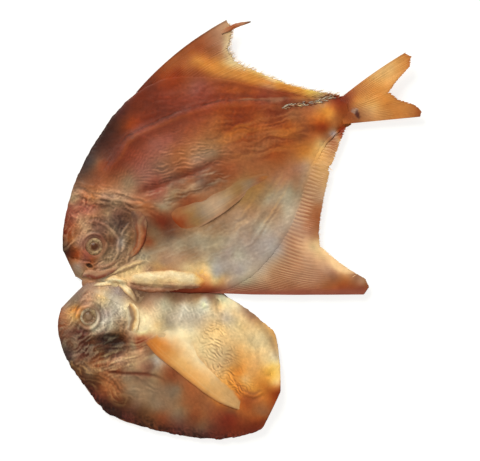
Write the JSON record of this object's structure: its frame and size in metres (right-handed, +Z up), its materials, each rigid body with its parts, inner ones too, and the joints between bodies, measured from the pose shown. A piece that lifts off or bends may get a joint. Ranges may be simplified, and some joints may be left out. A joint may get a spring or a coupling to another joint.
{
  "type": "dried pomfret",
  "caption": "Dried pomfret split down the back and opened flat, skin side up, with fins and tail on the half that keeps the backbone.",
  "frame": {"origin": "middle of the underside of the whole fish's box, on the surface it lies on", "axes": "+X from snout to tail, +Y from the fillet flap across the belly join to the finned half's back, +Z up out of the skin"},
  "size_m": [0.224, 0.2574, 0.0121],
  "materials": {
    "skin": "dried oily skin, red-brown to silver",
    "fin": "translucent amber fin, pleated along its rays",
    "bone": "cream skin folds and gill cover bone",
    "eye": "dull glassy dried eye in a horn-coloured ring",
    "flesh": "dry amber flesh on the cut underside"
  },
  "bodies": {
    "root": {"dried_pomfret": "skin"}
  },
  "joints": []
}
